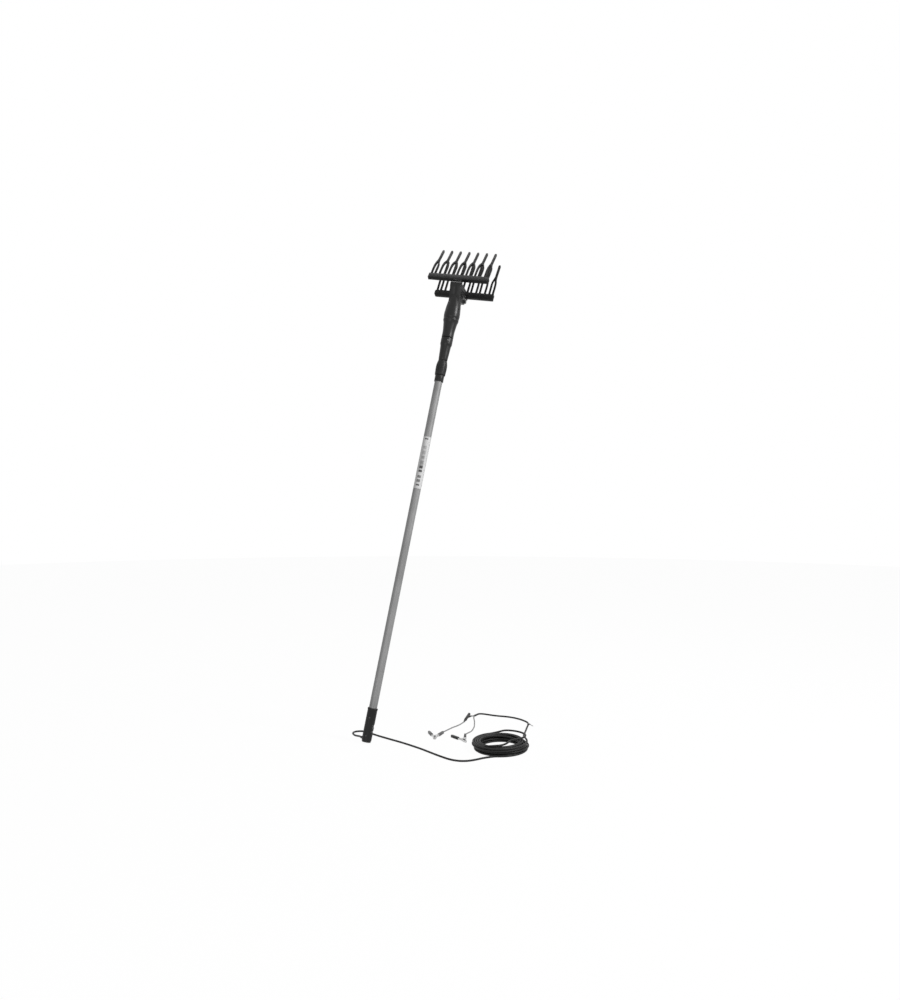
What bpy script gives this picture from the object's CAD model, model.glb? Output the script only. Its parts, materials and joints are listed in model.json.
"""Electric olive harvester: a motor head with two combs on a leaning telescopic pole, and its cable.

The CAD frame gives every size and place. Sub-assemblies are classes that soften the edges of the
moulded and cast parts, lay the cable and leads, and dress each part in its finish.
"""

import json
import logging
import math
from collections.abc import Sequence
from dataclasses import dataclass, field
from enum import Enum

import bmesh
import bpy
from mathutils import Matrix, Vector

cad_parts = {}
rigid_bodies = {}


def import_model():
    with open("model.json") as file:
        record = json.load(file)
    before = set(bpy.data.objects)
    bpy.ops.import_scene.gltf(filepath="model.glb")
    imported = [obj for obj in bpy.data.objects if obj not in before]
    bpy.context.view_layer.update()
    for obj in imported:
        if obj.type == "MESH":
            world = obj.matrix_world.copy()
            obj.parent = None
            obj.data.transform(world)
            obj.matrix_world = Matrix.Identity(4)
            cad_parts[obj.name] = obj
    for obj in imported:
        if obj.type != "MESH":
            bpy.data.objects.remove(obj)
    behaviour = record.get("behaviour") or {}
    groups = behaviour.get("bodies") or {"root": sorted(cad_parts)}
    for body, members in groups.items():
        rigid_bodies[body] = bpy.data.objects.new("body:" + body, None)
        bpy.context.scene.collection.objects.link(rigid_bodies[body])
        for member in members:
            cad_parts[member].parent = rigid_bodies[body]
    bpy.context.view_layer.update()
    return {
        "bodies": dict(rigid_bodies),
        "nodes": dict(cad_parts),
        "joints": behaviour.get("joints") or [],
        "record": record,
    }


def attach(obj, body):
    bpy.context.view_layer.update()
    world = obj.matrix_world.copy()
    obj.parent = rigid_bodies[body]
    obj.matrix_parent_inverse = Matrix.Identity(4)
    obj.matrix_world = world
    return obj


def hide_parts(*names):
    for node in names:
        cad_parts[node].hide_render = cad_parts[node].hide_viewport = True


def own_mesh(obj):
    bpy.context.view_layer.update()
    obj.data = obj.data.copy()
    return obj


LOG = logging.getLogger("harvester")

LEAN_BACK = math.radians(10.5)
LEAN_SIDE = math.radians(8.5)
MM = 0.001
FOOT_RADIUS = 0.019
FLOOR = -FOOT_RADIUS * math.sin(math.acos(math.cos(LEAN_BACK) * math.cos(LEAN_SIDE)))

Route = list[tuple[float, float, float]]


class Body(Enum):
    """Rigid bodies of the CAD frame."""

    LOWER_POLE = "lower_pole"
    EXTENSION = "extension"
    LOCK = "lock"
    BUTTON = "button"
    ROTOR = "rotor"
    CRANK = "crank_shaft"
    FRONT_COMB = "front_comb"
    REAR_COMB = "rear_comb"
    POSITIVE_JAW = "positive_clamp_jaw"
    NEGATIVE_JAW = "negative_clamp_jaw"


# ------------------------------------------------------------------ materials


@dataclass
class NodeWriter:
    """Adds and joins the nodes of one tree."""

    tree: bpy.types.NodeTree

    def add(self, kind: str, **settings: object) -> bpy.types.Node:
        """Adds a node.

        Args:
            kind: the node's type name.
            **settings: properties of the node, set by name.

        Returns:
            The new node.
        """
        node = self.tree.nodes.new(kind)
        for key, value in settings.items():
            setattr(node, key, value)
        return node

    def join(self, source: bpy.types.NodeSocket, target: bpy.types.NodeSocket) -> None:
        """Links an output to an input."""
        self.tree.links.new(source, target)

    def feed(self, socket: bpy.types.NodeSocket, value: object) -> None:
        """Gives an input a link or a plain value."""
        if isinstance(value, bpy.types.NodeSocket):
            self.join(value, socket)
        else:
            socket.default_value = value

    def maths(self, operation: str, *values: object, clamp: bool = False) -> bpy.types.NodeSocket:
        """Works out one operation.

        Args:
            operation: the Math node's operation.
            *values: links or numbers, in order.
            clamp: whether the result is held between 0 and 1.

        Returns:
            The result's socket.
        """
        node = self.add("ShaderNodeMath", operation=operation, use_clamp=clamp)
        for socket, value in zip(node.inputs, values):
            self.feed(socket, value)
        return node.outputs[0]

    def spread(self, value: object, low: float, high: float, to_low: float = 0.0,
               to_high: float = 1.0) -> bpy.types.NodeSocket:
        """Maps a range onto another, held at both ends.

        Args:
            value: the link to map.
            low: start of the range that is read.
            high: end of the range that is read.
            to_low: what low becomes.
            to_high: what high becomes.

        Returns:
            The mapped value's socket.
        """
        node = self.add("ShaderNodeMapRange", clamp=True)
        for index, item in enumerate((value, low, high, to_low, to_high)):
            self.feed(node.inputs[index], item)
        return node.outputs[0]

    def noise(self, vector: object, scale: object, detail: float = 3.0) -> bpy.types.NodeSocket:
        """Adds a noise and returns its value."""
        node = self.add("ShaderNodeTexNoise")
        self.feed(node.inputs["Vector"], vector)
        self.feed(node.inputs["Scale"], scale)
        node.inputs["Detail"].default_value = detail
        return node.outputs["Fac"]


@dataclass
class GroupMaker:
    """Builds each shared shader group once."""

    made: dict[str, bpy.types.NodeTree] = field(default_factory=dict)

    def _start(self, name: str, inputs: list[tuple[str, str, float]],
               outputs: list[tuple[str, str]]) -> tuple[NodeWriter, dict, dict]:
        """Starts a group with named sockets.

        Args:
            name: the group's name.
            inputs: name, socket kind and default of each input.
            outputs: name and socket kind of each output.

        Returns:
            The writer, and the sockets of the group's two ends by name.
        """
        tree = bpy.data.node_groups.new(name, "ShaderNodeTree")
        for label, kind, start in inputs:
            socket = tree.interface.new_socket(label, in_out="INPUT", socket_type=kind)
            if kind == "NodeSocketFloat":
                socket.default_value = start
        for label, kind in outputs:
            tree.interface.new_socket(label, in_out="OUTPUT", socket_type=kind)
        writer = NodeWriter(tree)
        begin, end = writer.add("NodeGroupInput"), writer.add("NodeGroupOutput")
        self.made[name] = tree
        return writer, {s.name: s for s in begin.outputs}, {s.name: s for s in end.inputs}

    def grain(self) -> bpy.types.NodeTree:
        """Moulding grain: fine height, broad tone change."""
        if "grain" not in self.made:
            w, given, out = self._start(
                "grain", [("Vector", "NodeSocketVector", 0), ("Scale", "NodeSocketFloat", 700)],
                [("Height", "NodeSocketFloat"), ("Tone", "NodeSocketFloat")])
            fine = w.noise(given["Vector"], given["Scale"], 4.0)
            pits = w.add("ShaderNodeTexVoronoi", feature="SMOOTH_F1")
            w.join(given["Vector"], pits.inputs["Vector"])
            w.join(given["Scale"], pits.inputs["Scale"])
            w.join(w.maths("ADD", fine, w.maths("MULTIPLY", pits.outputs["Distance"], 0.6)), out["Height"])
            broad = w.noise(given["Vector"], w.maths("MULTIPLY", given["Scale"], 0.03), 3.0)
            w.join(w.spread(broad, 0.3, 0.7), out["Tone"])
        return self.made["grain"]

    def wear(self) -> bpy.types.NodeTree:
        """Rubbed edges: a mask that is 1 on worn corners, broken up by noise."""
        if "wear" not in self.made:
            w, given, out = self._start(
                "wear", [("Vector", "NodeSocketVector", 0), ("Radius", "NodeSocketFloat", 0.0015)],
                [("Mask", "NodeSocketFloat")])
            rounded = w.add("ShaderNodeBevel", samples=4)
            w.join(given["Radius"], rounded.inputs["Radius"])
            plain = w.add("ShaderNodeNewGeometry")
            facing = w.add("ShaderNodeVectorMath", operation="DOT_PRODUCT")
            w.join(rounded.outputs["Normal"], facing.inputs[0])
            w.join(plain.outputs["Normal"], facing.inputs[1])
            edge = w.spread(facing.outputs["Value"], 0.99, 0.86)
            chips = w.spread(w.noise(given["Vector"], 160.0, 4.0), 0.42, 0.62)
            w.join(w.maths("MULTIPLY", edge, chips, clamp=True), out["Mask"])
        return self.made["wear"]

    def dust(self) -> bpy.types.NodeTree:
        """Settled dust: a mask that grows on faces that look up."""
        if "dust" not in self.made:
            w, given, out = self._start(
                "dust", [("Vector", "NodeSocketVector", 0), ("Scale", "NodeSocketFloat", 60)],
                [("Mask", "NodeSocketFloat")])
            geometry = w.add("ShaderNodeNewGeometry")
            parts = w.add("ShaderNodeSeparateXYZ")
            w.join(geometry.outputs["Normal"], parts.inputs[0])
            up = w.spread(parts.outputs["Z"], -0.2, 1.0)
            cloud = w.spread(w.noise(given["Vector"], given["Scale"], 5.0), 0.35, 0.75)
            w.join(w.maths("MULTIPLY", up, cloud, clamp=True), out["Mask"])
        return self.made["dust"]

    def pole_axes(self) -> bpy.types.NodeTree:
        """Turns Object coordinates so that Z runs along the pole."""
        if "pole_axes" not in self.made:
            w, given, out = self._start(
                "pole_axes", [("Vector", "NodeSocketVector", 0)],
                [("Vector", "NodeSocketVector"), ("Angle", "NodeSocketFloat"),
                 ("Height", "NodeSocketFloat")])
            turn = w.add("ShaderNodeMapping", vector_type="TEXTURE")
            turn.inputs["Rotation"].default_value = (-LEAN_BACK, LEAN_SIDE, 0)
            w.join(given["Vector"], turn.inputs["Vector"])
            parts = w.add("ShaderNodeSeparateXYZ")
            w.join(turn.outputs[0], parts.inputs[0])
            w.join(turn.outputs[0], out["Vector"])
            w.join(w.maths("ARCTAN2", parts.outputs["Y"], parts.outputs["X"]), out["Angle"])
            w.join(parts.outputs["Z"], out["Height"])
        return self.made["pole_axes"]

    def drawn(self) -> bpy.types.NodeTree:
        """Fine lines along the pole, as drawing leaves on a tube."""
        if "drawn" not in self.made:
            w, given, out = self._start(
                "drawn", [("Vector", "NodeSocketVector", 0), ("Scale", "NodeSocketFloat", 1)],
                [("Height", "NodeSocketFloat"), ("Tone", "NodeSocketFloat")])
            turned = w.add("ShaderNodeGroup", node_tree=self.pole_axes())
            w.join(given["Vector"], turned.inputs[0])
            stretch = w.add("ShaderNodeMapping")
            stretch.inputs["Scale"].default_value = (1400, 1400, 7)
            w.join(turned.outputs["Vector"], stretch.inputs["Vector"])
            lines = w.noise(stretch.outputs[0], given["Scale"], 3.0)
            broad = w.noise(turned.outputs["Vector"], 9.0, 3.0)
            w.join(lines, out["Height"])
            w.join(w.spread(w.maths("ADD", lines, broad), 0.75, 1.25), out["Tone"])
        return self.made["drawn"]


GROUPS = GroupMaker()


@dataclass(frozen=True)
class Finish:
    """A surface finish with its grey, gloss and texture; it becomes one Blender material."""

    name: str
    grey: float
    roughness: float
    metallic: float = 0.0
    grain_scale: float = 900.0
    grain_height: float = 0.00006
    tone: float = 0.18
    worn: float = 0.25
    dusty: float = 0.06
    coat: float = 0.0
    specular: float = 0.5

    def material(self) -> bpy.types.Material:
        """Makes the material, or returns the one already made."""
        return bpy.data.materials.get(f"{self.name}_finish") or self._build()

    def _texture(self, w: NodeWriter, vector: bpy.types.NodeSocket) -> tuple:
        """Places the finish's own texture.

        Args:
            w: the material's node writer.
            vector: the coordinates to read.

        Returns:
            The height's and the tone's sockets.
        """
        grain = w.add("ShaderNodeGroup", node_tree=GROUPS.grain())
        w.join(vector, grain.inputs["Vector"])
        grain.inputs["Scale"].default_value = self.grain_scale
        return grain.outputs["Height"], grain.outputs["Tone"]

    def _colour(self, w: NodeWriter, vector: bpy.types.NodeSocket,
                tone: bpy.types.NodeSocket) -> bpy.types.NodeSocket:
        """Returns the grey that the surface has before wear and dust."""
        return w.spread(tone, 0.0, 1.0, self.grey * (1 - self.tone), self.grey * (1 + self.tone))

    def _build(self) -> bpy.types.Material:
        """Builds the node tree of the material."""
        made = bpy.data.materials.new(f"{self.name}_finish")
        made.use_nodes = True
        made.node_tree.nodes.clear()
        w = NodeWriter(made.node_tree)
        shader = w.add("ShaderNodeBsdfPrincipled")
        output = w.add("ShaderNodeOutputMaterial")
        w.join(shader.outputs[0], output.inputs["Surface"])
        vector = w.add("ShaderNodeTexCoord").outputs["Object"]
        height, tone = self._texture(w, vector)
        grey = self._colour(w, vector, tone)
        rough = w.spread(tone, 0.0, 1.0, self.roughness * 0.88, min(1.0, self.roughness * 1.12))
        if self.worn:
            wear = w.add("ShaderNodeGroup", node_tree=GROUPS.wear())
            w.join(vector, wear.inputs["Vector"])
            mask = w.maths("MULTIPLY", wear.outputs["Mask"], self.worn)
            grey = w.maths("ADD", grey, w.maths("MULTIPLY", mask, 0.35))
        if self.dusty:
            dust = w.add("ShaderNodeGroup", node_tree=GROUPS.dust())
            w.join(vector, dust.inputs["Vector"])
            film = w.maths("MULTIPLY", dust.outputs["Mask"], self.dusty)
            grey = w.maths("ADD", grey, w.maths("MULTIPLY", film, 0.5))
            rough = w.maths("ADD", rough, w.maths("MULTIPLY", film, 0.8), clamp=True)
        colour = w.add("ShaderNodeCombineColor")
        for socket in colour.inputs:
            w.join(grey, socket)
        w.join(colour.outputs[0], shader.inputs["Base Color"])
        w.join(rough, shader.inputs["Roughness"])
        shader.inputs["Metallic"].default_value = self.metallic
        shader.inputs["Coat Weight"].default_value = self.coat
        shader.inputs["Specular IOR Level"].default_value = self.specular
        bump = w.add("ShaderNodeBump")
        bump.inputs["Strength"].default_value = 0.6
        bump.inputs["Distance"].default_value = self.grain_height
        w.join(height, bump.inputs["Height"])
        w.join(bump.outputs[0], shader.inputs["Normal"])
        return made


@dataclass(frozen=True)
class DrawnFinish(Finish):
    """Drawn or brushed metal with fine lines along the pole."""

    def _texture(self, w: NodeWriter, vector: bpy.types.NodeSocket) -> tuple:
        """Places the drawn lines and returns their height and tone."""
        drawn = w.add("ShaderNodeGroup", node_tree=GROUPS.drawn())
        w.join(vector, drawn.inputs["Vector"])
        return drawn.outputs["Height"], drawn.outputs["Tone"]


@dataclass(frozen=True)
class LabelFinish(Finish):
    """White film with plain printed bands and blocks, and no lettering."""

    foot: float = 1.112
    top: float = 1.350
    middle: float = math.radians(-78)
    print_edge: float = 0.42
    blank_edge: float = 0.46
    # Where each printed stretch starts, as a share of the film's height, and how light it is
    stretches: tuple[tuple[float, float], ...] = (
        (0.0, 1.0), (0.05, 0.2), (0.08, 1.0), (0.12, 0.35), (0.17, 1.0), (0.2, 0.35), (0.25, 1.0),
        (0.31, 0.12), (0.35, 0.8), (0.38, 0.12), (0.43, 0.6), (0.47, 0.45), (0.53, 0.75), (0.57, 0.5),
        (0.62, 0.8), (0.66, 0.6), (0.72, 0.85), (0.76, 0.65), (0.82, 1.0), (0.94, 0.25), (0.965, 1.0))

    def _colour(self, w: NodeWriter, vector: bpy.types.NodeSocket,
                tone: bpy.types.NodeSocket) -> bpy.types.NodeSocket:
        """Returns the film's grey with its printed bands down the middle."""
        turned = w.add("ShaderNodeGroup", node_tree=GROUPS.pole_axes())
        w.join(vector, turned.inputs[0])
        bands = w.add("ShaderNodeValToRGB")
        ramp = bands.color_ramp
        ramp.interpolation = "CONSTANT"
        ramp.elements.remove(ramp.elements[1])
        ramp.elements[0].color = (1, 1, 1, 1)
        for start, value in self.stretches[1:]:
            ramp.elements.new(start).color = (value, value, value, 1)
        w.join(w.spread(turned.outputs["Height"], self.foot, self.top), bands.inputs[0])
        aside = w.maths("ABSOLUTE", w.maths("SUBTRACT", turned.outputs["Angle"], self.middle))
        blank = w.spread(aside, self.print_edge, self.blank_edge)
        printed = w.maths("MAXIMUM", bands.outputs["Color"], blank)
        return w.maths("MULTIPLY", printed, w.spread(tone, 0.0, 1.0, self.grey * 0.96, self.grey))


@dataclass(frozen=True)
class GlassFinish(Finish):
    """Clear glass, as on a cartridge fuse."""

    def _build(self) -> bpy.types.Material:
        """Builds clear glass with faint surface ripple."""
        made = bpy.data.materials.new(f"{self.name}_finish")
        made.use_nodes = True
        w = NodeWriter(made.node_tree)
        shader = made.node_tree.nodes["Principled BSDF"]
        shader.inputs["Base Color"].default_value = (0.9, 0.9, 0.9, 1)
        shader.inputs["Roughness"].default_value = self.roughness
        shader.inputs["Transmission Weight"].default_value = 0.85
        bump = w.add("ShaderNodeBump")
        bump.inputs["Distance"].default_value = self.grain_height
        w.join(w.noise(w.add("ShaderNodeTexCoord").outputs["Object"], 300.0), bump.inputs["Height"])
        w.join(bump.outputs[0], shader.inputs["Normal"])
        return made


CASING = Finish("casing_black", 0.008, 0.4, grain_scale=1500.0, grain_height=0.00005, worn=0.06,
                dusty=0.01, specular=0.28)
COMB_BLACK = Finish("comb_black", 0.007, 0.55, grain_scale=1100.0, worn=0.04, dusty=0.008, specular=0.14)
HANDLE_BLACK = Finish("handle_black", 0.01, 0.52, grain_scale=1300.0, grain_height=0.0001, worn=0.04,
                      dusty=0.008, specular=0.2)
NUT_BLACK = Finish("nut_black", 0.01, 0.46, worn=0.05, dusty=0.008, specular=0.24)
SWITCH_BLACK = Finish("switch_black", 0.016, 0.3, worn=0.05, dusty=0.01, coat=0.1, specular=0.3)
RUBBER = Finish("boot_rubber", 0.018, 0.62, grain_scale=1800.0, worn=0.0, dusty=0.015, specular=0.25)
CABLE_BLACK = Finish("cable_black", 0.007, 0.52, grain_scale=2200.0, grain_height=0.00004, worn=0.0,
                     dusty=0.01, specular=0.25)
LEAD_GREY = Finish("lead_grey", 0.2, 0.5, grain_scale=2200.0, grain_height=0.00003, worn=0.0, dusty=0.02,
                   specular=0.3)
GRIP_BLACK = Finish("grip_black", 0.006, 0.4, worn=0.05, dusty=0.005, specular=0.25)
GRIP_GREY = Finish("grip_grey", 0.06, 0.4, worn=0.05, dusty=0.01, specular=0.3)
TUBE = DrawnFinish("tube_aluminium", 0.235, 0.52, metallic=0.25, grain_height=0.00002, worn=0.02,
                   dusty=0.01, specular=0.25)
STEEL = Finish("steel", 0.45, 0.34, metallic=1.0, grain_scale=1600.0, grain_height=0.00002, worn=0.0)
DARK_STEEL = Finish("dark_steel", 0.05, 0.4, metallic=0.6, grain_scale=1600.0, grain_height=0.00002,
                    worn=0.1, dusty=0.01, specular=0.4)
ZINC = Finish("zinc_steel", 0.5, 0.32, metallic=1.0, grain_scale=900.0, grain_height=0.00002, worn=0.0)
DULL_ZINC = Finish("dulled_zinc", 0.13, 0.5, metallic=0.9, grain_scale=900.0, grain_height=0.00002,
                   worn=0.0)
CAST = Finish("painted_casting", 0.012, 0.52, grain_scale=1000.0, grain_height=0.0001, worn=0.1,
              dusty=0.01, specular=0.22)
PLATE = Finish("machined_alloy", 0.32, 0.5, metallic=0.8, grain_scale=1000.0, grain_height=0.00005)
MOTOR_STEEL = DrawnFinish("motor_steel", 0.4, 0.35, metallic=1.0, grain_height=0.00002)
FILM = LabelFinish("label_film", 0.54, 0.5, grain_height=0.00001, worn=0.0, dusty=0.01, specular=0.2)
NYLON = Finish("tie_nylon", 0.2, 0.4, grain_height=0.00002, worn=0.0, dusty=0.02)
GLASS = GlassFinish("fuse_glass", 0.9, 0.06, grain_height=0.00002)


# ------------------------------------------------------------------ pieces


def dress(piece: bpy.types.Object, finish: Finish) -> None:
    """Gives a piece one finish over all its faces."""
    piece.data.materials.clear()
    piece.data.materials.append(finish.material())


def place(piece: bpy.types.Object, body: Body, slot: str, *nodes: str) -> None:
    """Puts a finished piece on its body.

    Args:
        piece: the object, with its place in its mesh.
        body: the body that it moves with.
        slot: the record's material slot.
        *nodes: CAD nodes that it stands for.
    """
    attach(piece, body.value)
    if nodes:
        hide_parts(*nodes)
    LOG.info("%s: %d faces", piece.name, len(getattr(piece.data, "polygons", ())))


def object_from(mesh: bmesh.types.BMesh, name: str, finish: Finish,
                sharp: float = 38.0) -> bpy.types.Object:
    """Makes an object of a bmesh, shaded smooth up to an angle.

    Args:
        mesh: the bmesh, which is freed.
        name: the object's name.
        finish: its finish.
        sharp: angle in degrees past which an edge is drawn sharp.

    Returns:
        The new object.
    """
    for face in mesh.faces:
        face.smooth = True
    for edge in mesh.edges:
        edge.smooth = len(edge.link_faces) == 2 and edge.calc_face_angle() < math.radians(sharp)
    data = bpy.data.meshes.new(name)
    mesh.to_mesh(data)
    mesh.free()
    made = bpy.data.objects.new(name, data)
    bpy.context.scene.collection.objects.link(made)
    dress(made, finish)
    return made


@dataclass
class SoftenedPart:
    """A moulded, cast or pressed part whose corners are rounded as its tool leaves them."""

    name: str
    nodes: tuple[str, ...]
    body: Body
    finish: Finish
    slot: str
    radius: float = 0.8
    segments: int = 2
    angle: float = 32.0

    def build(self, frame: dict) -> bpy.types.Object:
        """Makes the part from its CAD nodes.

        Args:
            frame: the loaded frame.

        Returns:
            The new piece.
        """
        mesh = bmesh.new()
        for node in self.nodes:
            mesh.from_mesh(frame["nodes"][node].data)
        bmesh.ops.remove_doubles(mesh, verts=mesh.verts, dist=2e-6)
        bmesh.ops.dissolve_limit(mesh, angle_limit=math.radians(0.6), verts=mesh.verts, edges=mesh.edges)
        corners = [e for e in mesh.edges if len(e.link_faces) == 2
                   and e.calc_face_angle() > math.radians(self.angle)]
        bmesh.ops.bevel(mesh, geom=corners, offset=self.radius * MM, offset_type="OFFSET", affect="EDGES",
                        segments=self.segments, profile=0.5, clamp_overlap=True, material=-1)
        piece = object_from(mesh, self.name, self.finish)
        place(piece, self.body, self.slot, *self.nodes)
        return piece


@dataclass
class PlainNodes:
    """CAD nodes that are shown as they are, in a finish of their own."""

    finishes: dict[str, tuple[Finish, str]]

    def build(self, frame: dict) -> None:
        """Dresses each node.

        Args:
            frame: the loaded frame.
        """
        for node, (finish, slot) in self.finishes.items():
            piece = frame["nodes"][node]
            dress(piece, finish)
            LOG.info("%s keeps its CAD shape", node)


# ------------------------------------------------------------------ cable and leads


def smooth_route(name: str, points: Route, diameter: float, finish: Finish,
                 steps: int = 6) -> bpy.types.Object:
    """Makes a round cord along points.

    Args:
        name: the object's name.
        points: the points of its middle line, in metres.
        diameter: its diameter in metres.
        finish: its finish.
        steps: curve steps from one point to the next.

    Returns:
        The curve object.
    """
    data = bpy.data.curves.new(name, "CURVE")
    data.dimensions = "3D"
    data.resolution_u = steps
    data.bevel_depth = diameter / 2
    data.bevel_resolution = 3
    data.use_fill_caps = True
    spline = data.splines.new("BEZIER")
    spline.bezier_points.add(len(points) - 1)
    for knot, point in zip(spline.bezier_points, points):
        knot.co = point
        knot.handle_left_type = knot.handle_right_type = "AUTO"
    made = bpy.data.objects.new(name, data)
    bpy.context.scene.collection.objects.link(made)
    dress(made, finish)
    return made


def smooth_step(x: float) -> float:
    """Rises smoothly from 0 to 1."""
    t = min(max(x, 0.0), 1.0)
    return t * t * (3 - 2 * t)


def smooth_hill(x: float, start: float, end: float, width: float) -> float:
    """Rises at start and falls at end, each over width."""
    return smooth_step((x - start) / width) * smooth_step((end - x) / width)


@dataclass
class SupplyCable:
    """The black cable: its loop by the handle, its run, the coil, and the tail to the splitter."""

    diameter: float = 8.0
    turns: float = 15.3
    start: float = -75.0
    radius: float = 115.0
    oval: float = 1.08
    turn_step: float = 8.9
    layer_step: float = 9.4
    layers: int = 4
    points_per_turn: int = 24
    # Degrees before the coil's end over which the slack turn cuts in, stands out and stands up
    slack_span: tuple[float, float] = (343, 488)
    bulge_span: tuple[float, float] = (283, 400)
    lift_span: tuple[float, float] = (272, 512)
    slack: float = 48
    bulge: float = 16
    lift: float = 10
    centre: tuple[float, float] = (567.0, 82.0)
    shifts: tuple[tuple[float, float], ...] = ((0, 0), (2, 2), (-3.1, -0.9), (-2.9, -2.1))
    waves: tuple[tuple[float, float], ...] = ((1.8, 250), (2.2, 70), (2.2, 220), (1.8, 300))
    run: Route = field(default_factory=lambda: [
        (-31, 28, 10.9), (-42, 41, 8.6), (-54, 56, 5.6), (-68, 69, 2.4), (-84, 82, 0), (-99, 98, 0),
        (-108, 116, 0), (-107, 134, 0), (-95, 147, 0), (-77, 152, 0), (-58, 148, 0), (-41, 138, 0),
        (-12, 120, 0), (22, 100, 0), (60, 80, 0), (99, 60, 0), (144, 37, 0), (193, 9, 0),
        (248, -25, 0), (294, -57, 0), (337, -88, 0), (376, -114, 0), (407, -132, 0), (436, -141, 0),
        (464, -140, 0), (489, -128, 0), (511, -107, 0), (531, -83, 0), (553, -62, 0), (574, -47, 0)])
    tail: Route = field(default_factory=lambda: [
        (652, 171, 26.2), (646, 190, 24), (641, 212, 20.5), (637, 236, 16), (633, 262, 11), (629, 290, 6.3),
        (625.5, 318, 2.6), (622, 350, 0.4), (619, 384, 0), (616, 418, 0), (614, 450, 0), (610, 480, 0),
        (598, 507, 0), (577, 531, 0), (551, 552, 0), (520, 568, 0), (486, 577, 0), (452, 579, 0),
        (420, 583, 0), (394, 590, 0), (374, 595, 0), (358, 596, 0), (347, 590, 0), (342, 577, 0)])

    def _layered(self, values: Sequence[float], s: float) -> float:
        """Reads one value per layer after s turns, eased over half a turn where the spiral reverses."""
        found = values[0]
        for layer in range(1, self.layers):
            step = smooth_step(2 * (s - layer * self.turns / self.layers) + 0.5)
            found += step * (values[layer] - values[layer - 1])
        return found

    def _spiral(self, s: float) -> float:
        """Radius of the spiral after s turns."""
        per_layer = self.turns / self.layers
        layer = math.floor(s / per_layer)
        within = s - layer * per_layer
        return self.radius - self.turn_step * (within if layer % 2 == 0 else per_layer - within)

    def _slack(self, left: float) -> float:
        """How far the slack turn cuts across the hole, left degrees before the end."""
        start, end = self.slack_span
        if not start <= left <= end:
            return 0.0
        return self.slack * math.sin(math.pi * (left - start) / (end - start)) ** 2

    def _bulge(self, left: float) -> float:
        """How far it then stands out behind the pile, left degrees before the end."""
        return self.bulge * smooth_hill(left, *self.bulge_span, 45)

    def _lift(self, left: float) -> float:
        """How far the slack turn stands off the pile, left degrees before the end."""
        return self.lift * smooth_hill(left, *self.lift_span, 30)

    def coil(self) -> Route:
        """Points of the coil's middle line, in millimetres above the floor's cable height."""
        count = round(self.turns * self.points_per_turn)
        found = []
        for i in range(count + 1):
            s = self.turns * i / count
            angle = math.radians(self.start + 360 * s)
            left = 360 * (self.turns - s)
            waves = [size * math.sin(2 * angle + math.radians(turn)) for size, turn in self.waves]
            radius = self._spiral(s) - self._slack(left) + self._bulge(left) + self._layered(waves, s)
            east, north = (self._layered([shift[k] for shift in self.shifts], s) for k in (0, 1))
            found.append((self.centre[0] + east + radius * math.cos(angle),
                          self.centre[1] + north + self.oval * radius * math.sin(angle),
                          self.layer_step * self._layered(range(self.layers), s) + self._lift(left)))
        return found

    def points(self) -> Route:
        """All points from the strain relief to the splitter, in metres."""
        base = FLOOR + self.diameter / 2 * MM
        return [(x * MM, y * MM, base + z * MM) for x, y, z in self.run + self.coil() + self.tail]

    def build(self, with_pieces: list[bpy.types.Object]) -> bpy.types.Object:
        """Lays the cable.

        Args:
            with_pieces: the pieces on it.

        Returns:
            The cable.
        """
        points = self.points()
        piece = smooth_route("supply_cable", points, self.diameter * MM, CABLE_BLACK, 3)
        place(piece, Body.LOWER_POLE, "cable_rubber", "cable_run", "cable_coil", "cable_tail")
        return piece


@dataclass
class Lead:
    """One grey lead, from the splitter to its battery clamp."""

    name: str
    nodes: tuple[str, ...]
    route: Route
    diameter: float = 5.4

    def build(self, with_pieces: list[bpy.types.Object]) -> bpy.types.Object:
        """Args:
            with_pieces: the pieces on it.

        Returns:
            The lead.
        """
        base = FLOOR + self.diameter / 2 * MM
        points = [(x * MM, y * MM, base + z * MM) for x, y, z in self.route]
        piece = smooth_route(self.name, points, self.diameter * MM, LEAD_GREY)
        place(piece, Body.LOWER_POLE, "lead_sheath", *self.nodes)
        return piece


# The first runs on through the fuse holder, and both end inside the fixed handle of a clamp
POSITIVE_ROUTE = [
    (331.6, 550.8, 0.7), (329, 545, 1.4), (326, 538.4, 2.8), (323.4, 532.2, 3.8), (311.8, 500.3, 3.8),
    (313, 486.3, 3.8), (315.1, 462.4, 3.8), (318.6, 422.6, 3.8), (315.6, 408, 2.4), (311, 388, 0.8),
    (305, 367, 0), (297.5, 346, 0), (290.5, 326, 0), (285.5, 306, 0), (281.5, 286, 0.4), (278.5, 266, 1.4),
    (275.8, 248, 2.2), (273.4, 233.1, 2.5), (271, 213.3, 2.5), (268, 188.5, 2.5)]
NEGATIVE_ROUTE = [
    (337, 549.2, 0.7), (337, 538, 0), (340, 522, 0), (346, 502, 0), (353, 480, 0), (360, 457, 0),
    (366, 434, 0), (372, 410, 0), (378, 385, 0), (383, 359, 0), (386, 332, 0), (388, 306, 0),
    (387.5, 282, 0.4), (384, 261, 1.4), (380.2, 241, 2.2), (378.5, 221, 2.5), (383, 201.5, 2.5),
    (388.6, 177.2, 2.5)]


# ------------------------------------------------------------------ studio


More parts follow.
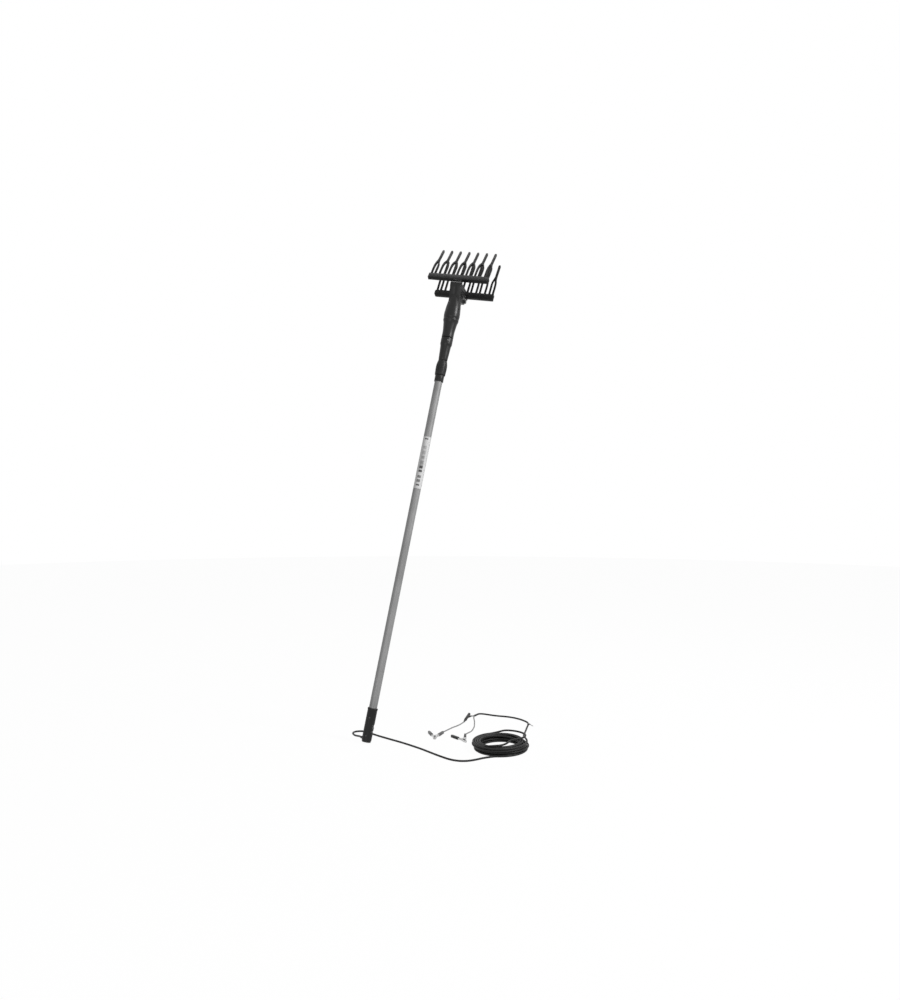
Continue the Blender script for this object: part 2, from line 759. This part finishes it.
@dataclass
class Studio:
    """Camera, floor, lamps and white surround."""

    eye: tuple[float, float, float] = (1.3362, -3.362, 1.0318)
    heading: float = 16.0
    focal_px: float = 844.0
    frame_px: float = 1000.0
    sensor: float = 36.0
    ambient: float = 0.28
    floor_glow: float = 0.97

    def camera(self) -> None:
        """Makes the camera, level and without shift."""
        data = bpy.data.cameras.new("camera")
        data.sensor_width = self.sensor
        data.lens = self.focal_px / self.frame_px * self.sensor
        made = bpy.data.objects.new("camera", data)
        made.location = self.eye
        made.rotation_euler = (math.radians(90), 0, math.radians(self.heading))
        bpy.context.scene.collection.objects.link(made)
        bpy.context.scene.camera = made

    def _seen(self, w: NodeWriter) -> bpy.types.NodeSocket:
        """Returns 1 for camera, mirror and glass rays."""
        rays = w.add("ShaderNodeLightPath")
        total = w.maths("MAXIMUM", rays.outputs["Is Camera Ray"], rays.outputs["Is Glossy Ray"])
        return w.maths("MAXIMUM", total, rays.outputs["Is Transmission Ray"])

    def surround(self) -> None:
        """Makes the world: white where it is seen, softer where it lights."""
        world = bpy.data.worlds.new("surround")
        world.use_nodes = True
        bpy.context.scene.world = world
        w = NodeWriter(world.node_tree)
        world.node_tree.nodes.clear()
        light, white = w.add("ShaderNodeBackground"), w.add("ShaderNodeBackground")
        light.inputs["Color"].default_value = (1, 1, 1, 1)
        light.inputs["Strength"].default_value = self.ambient
        white.inputs["Color"].default_value = (1, 1, 1, 1)
        mix = w.add("ShaderNodeMixShader")
        w.join(self._seen(w), mix.inputs[0])
        w.join(light.outputs[0], mix.inputs[1])
        w.join(white.outputs[0], mix.inputs[2])
        w.join(mix.outputs[0], w.add("ShaderNodeOutputWorld").inputs["Surface"])

    def floor(self) -> None:
        """Makes the pale floor, which shows white and keeps a faint shadow."""
        mesh = bmesh.new()
        bmesh.ops.create_circle(mesh, cap_ends=True, segments=64, radius=12.0,
                                matrix=Matrix.Translation((0, 0, FLOOR - 0.0002)))
        data = bpy.data.meshes.new("floor")
        mesh.to_mesh(data)
        mesh.free()
        made = bpy.data.objects.new("floor", data)
        bpy.context.scene.collection.objects.link(made)
        material = bpy.data.materials.new("floor_white")
        material.use_nodes = True
        material.node_tree.nodes.clear()
        w = NodeWriter(material.node_tree)
        matte, glow = w.add("ShaderNodeBsdfDiffuse"), w.add("ShaderNodeEmission")
        matte.inputs["Color"].default_value = (0.92, 0.92, 0.92, 1)
        glow.inputs["Color"].default_value = (1, 1, 1, 1)
        mix = w.add("ShaderNodeMixShader")
        w.join(w.maths("MULTIPLY", self._seen(w), self.floor_glow), mix.inputs[0])
        w.join(matte.outputs[0], mix.inputs[1])
        w.join(glow.outputs[0], mix.inputs[2])
        w.join(mix.outputs[0], w.add("ShaderNodeOutputMaterial").inputs["Surface"])
        data.materials.append(material)

    def lamp(self, name: str, eye: Vector, aim: Vector, size: float, power: float) -> None:
        """Adds a soft square lamp.

        Args:
            name: the lamp's name.
            eye: where it stands.
            aim: what it points at.
            size: its side in metres.
            power: its power in watts.
        """
        data = bpy.data.lights.new(name, "AREA")
        data.size = size
        data.energy = power
        made = bpy.data.objects.new(name, data)
        made.location = eye
        made.rotation_euler = (aim - eye).to_track_quat("-Z", "Y").to_euler()
        bpy.context.scene.collection.objects.link(made)

    def build(self) -> None:
        """Makes the surround, the floor and the lamps."""
        self.surround()
        self.floor()
        aim = Vector((0.2, 0.2, 1.1))
        self.lamp("key", Vector((4.2, -0.6, 3.3)), aim, 0.8, 165.0)
        self.lamp("fill", Vector((0.2, -4.0, 0.9)), Vector((0.2, 0.2, 0.5)), 1.6, 40.0)
        self.lamp("top", Vector((0.2, 1.6, 4.2)), aim, 2.0, 50.0)


# ------------------------------------------------------------------ assembly


def softened_parts() -> list[SoftenedPart]:
    """Lists the parts whose edges are rounded."""
    front, rear, ext, low = Body.FRONT_COMB, Body.REAR_COMB, Body.EXTENSION, Body.LOWER_POLE
    parts = [
        SoftenedPart("casing_left", ("case_left_shell",), ext, CASING, "casing_plastic", 1.0),
        SoftenedPart("casing_right", ("case_right_shell",), ext, CASING, "casing_plastic", 1.0),
        SoftenedPart("neck", ("neck_adapter",), ext, CASING, "casing_plastic", 0.8),
        SoftenedPart("front_crossbar", ("front_bar",), front, COMB_BLACK, "comb_plastic", 1.2),
        SoftenedPart("rear_crossbar", ("rear_bar",), rear, COMB_BLACK, "comb_plastic", 1.2),
        SoftenedPart("front_tine_row", ("front_tines",), front, COMB_BLACK, "comb_plastic", 1.4),
        SoftenedPart("rear_tine_row", ("rear_tines",), rear, COMB_BLACK, "comb_plastic", 1.4),
        SoftenedPart("front_arm", ("front_lever",), front, CAST, "lever_alloy", 0.6),
        SoftenedPart("rear_arm", ("rear_lever",), rear, CAST, "lever_alloy", 0.6),
        SoftenedPart("grip_front", ("handle_front_shell",), low, HANDLE_BLACK, "handle_plastic", 0.6),
        SoftenedPart("grip_back", ("handle_back_shell",), low, HANDLE_BLACK, "handle_plastic", 0.6),
        SoftenedPart("butt", ("butt_cap",), low, HANDLE_BLACK, "handle_plastic", 0.6),
        SoftenedPart("trigger", ("switch_button",), Body.BUTTON, SWITCH_BLACK, "switch_plastic", 0.8),
        SoftenedPart("clamp_collet", ("collet",), low, NUT_BLACK, "nut_plastic", 0.5),
        SoftenedPart("twist_nut", ("lock_nut",), Body.LOCK, NUT_BLACK, "nut_plastic", 0.6),
        SoftenedPart("cap_of_fuse", ("fuse_cap",), low, RUBBER, "boot_rubber", 0.5),
        SoftenedPart("holder_of_fuse", ("fuse_holder",), low, RUBBER, "boot_rubber", 0.5),
        SoftenedPart("splitter_boot", ("lead_splitter",), low, RUBBER, "boot_rubber", 0.6),
    ]
    for side, grip, grip_slot, jaw_body in (
            ("positive", GRIP_GREY, "grip_grey", Body.POSITIVE_JAW),
            ("negative", GRIP_BLACK, "grip_black", Body.NEGATIVE_JAW)):
        for half, body in (("fixed", low), ("moving", jaw_body)):
            parts.append(SoftenedPart(f"{side}_{half}_plate", (f"{side}_{half}_jaw",), body, ZINC,
                                      "zinc_steel", 0.2))
            parts.append(SoftenedPart(f"{side}_{half}_sleeve", (f"{side}_{half}_grip",), body, grip,
                                      grip_slot, 0.8))
    return parts


def plain_nodes() -> PlainNodes:
    """Lists the parts that keep their CAD shape."""
    table = {
        "handle_screws": (DARK_STEEL, "dark_steel"), "switch_body": (SWITCH_BLACK, "switch_plastic"),
        "switch_spring": (STEEL, "steel"), "strain_relief": (RUBBER, "boot_rubber"),
        "lower_tube": (TUBE, "tube_aluminium"), "sliding_tube": (TUBE, "tube_aluminium"),
        "label_plate": (FILM, "label_film"), "supply_lead": (CABLE_BLACK, "cable_rubber"),
        "neck_screws": (DULL_ZINC, "zinc_steel"), "case_screws": (DULL_ZINC, "zinc_steel"),
        "motor": (MOTOR_STEEL, "motor_steel"), "motor_shaft": (STEEL, "steel"),
        "motor_plate": (PLATE, "lever_alloy"), "bearing_plate": (PLATE, "lever_alloy"),
        "crank_bearings": (STEEL, "steel"), "crank": (STEEL, "steel"),
        "front_pivot_pin": (DARK_STEEL, "dark_steel"), "rear_pivot_pin": (DARK_STEEL, "dark_steel"),
        "front_comb_bolts": (ZINC, "zinc_steel"), "rear_comb_bolts": (ZINC, "zinc_steel"),
        "cable_tie": (NYLON, "tie_nylon"), "fuse": (GLASS, "fuse_glass"),
    }
    for side in ("positive", "negative"):
        table[f"{side}_clamp_pin"] = (STEEL, "steel")
        table[f"{side}_clamp_spring"] = (STEEL, "steel")
    return PlainNodes(table)


def lay_cords(frame: dict) -> None:
    """Lays the cable and the leads with the pieces on them.

    Args:
        frame: the loaded frame.
    """
    made = {part.name: part for part in softened_parts()}
    nodes = frame["nodes"]
    SupplyCable().build([made["splitter_boot"].build(frame), nodes["cable_tie"]])
    fuse_pieces = [made["holder_of_fuse"].build(frame), made["cap_of_fuse"].build(frame), nodes["fuse"]]
    on_lead = {"positive": fuse_pieces, "negative": []}
    for side, found in on_lead.items():
        for half in ("fixed", "moving"):
            found += [made[f"{side}_{half}_{kind}"].build(frame) for kind in ("plate", "sleeve")]
        found += [nodes[f"{side}_clamp_pin"], nodes[f"{side}_clamp_spring"]]
    Lead("positive_wire", ("fuse_lead", "positive_lead"), POSITIVE_ROUTE).build(on_lead["positive"])
    Lead("negative_wire", ("negative_lead",), NEGATIVE_ROUTE).build(on_lead["negative"])


def squeeze_switch_spring(frame: dict) -> None:
    """Shortens the switch spring towards its seat as the button is pressed.

    Args:
        frame: the loaded frame.
    """
    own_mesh(frame["nodes"]["switch_spring"])


def main() -> None:
    """Builds the scene in order."""
    logging.basicConfig(level=logging.INFO, format="%(name)s: %(message)s")
    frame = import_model()
    studio = Studio()
    studio.camera()
    lay_cords(frame)
    for part in softened_parts():
        if bpy.data.objects.get(part.name) is None:
            part.build(frame)
    plain_nodes().build(frame)
    squeeze_switch_spring(frame)
    studio.build()
    bpy.context.scene.view_settings.view_transform = "Standard"


if __name__ == "__main__":
    main()
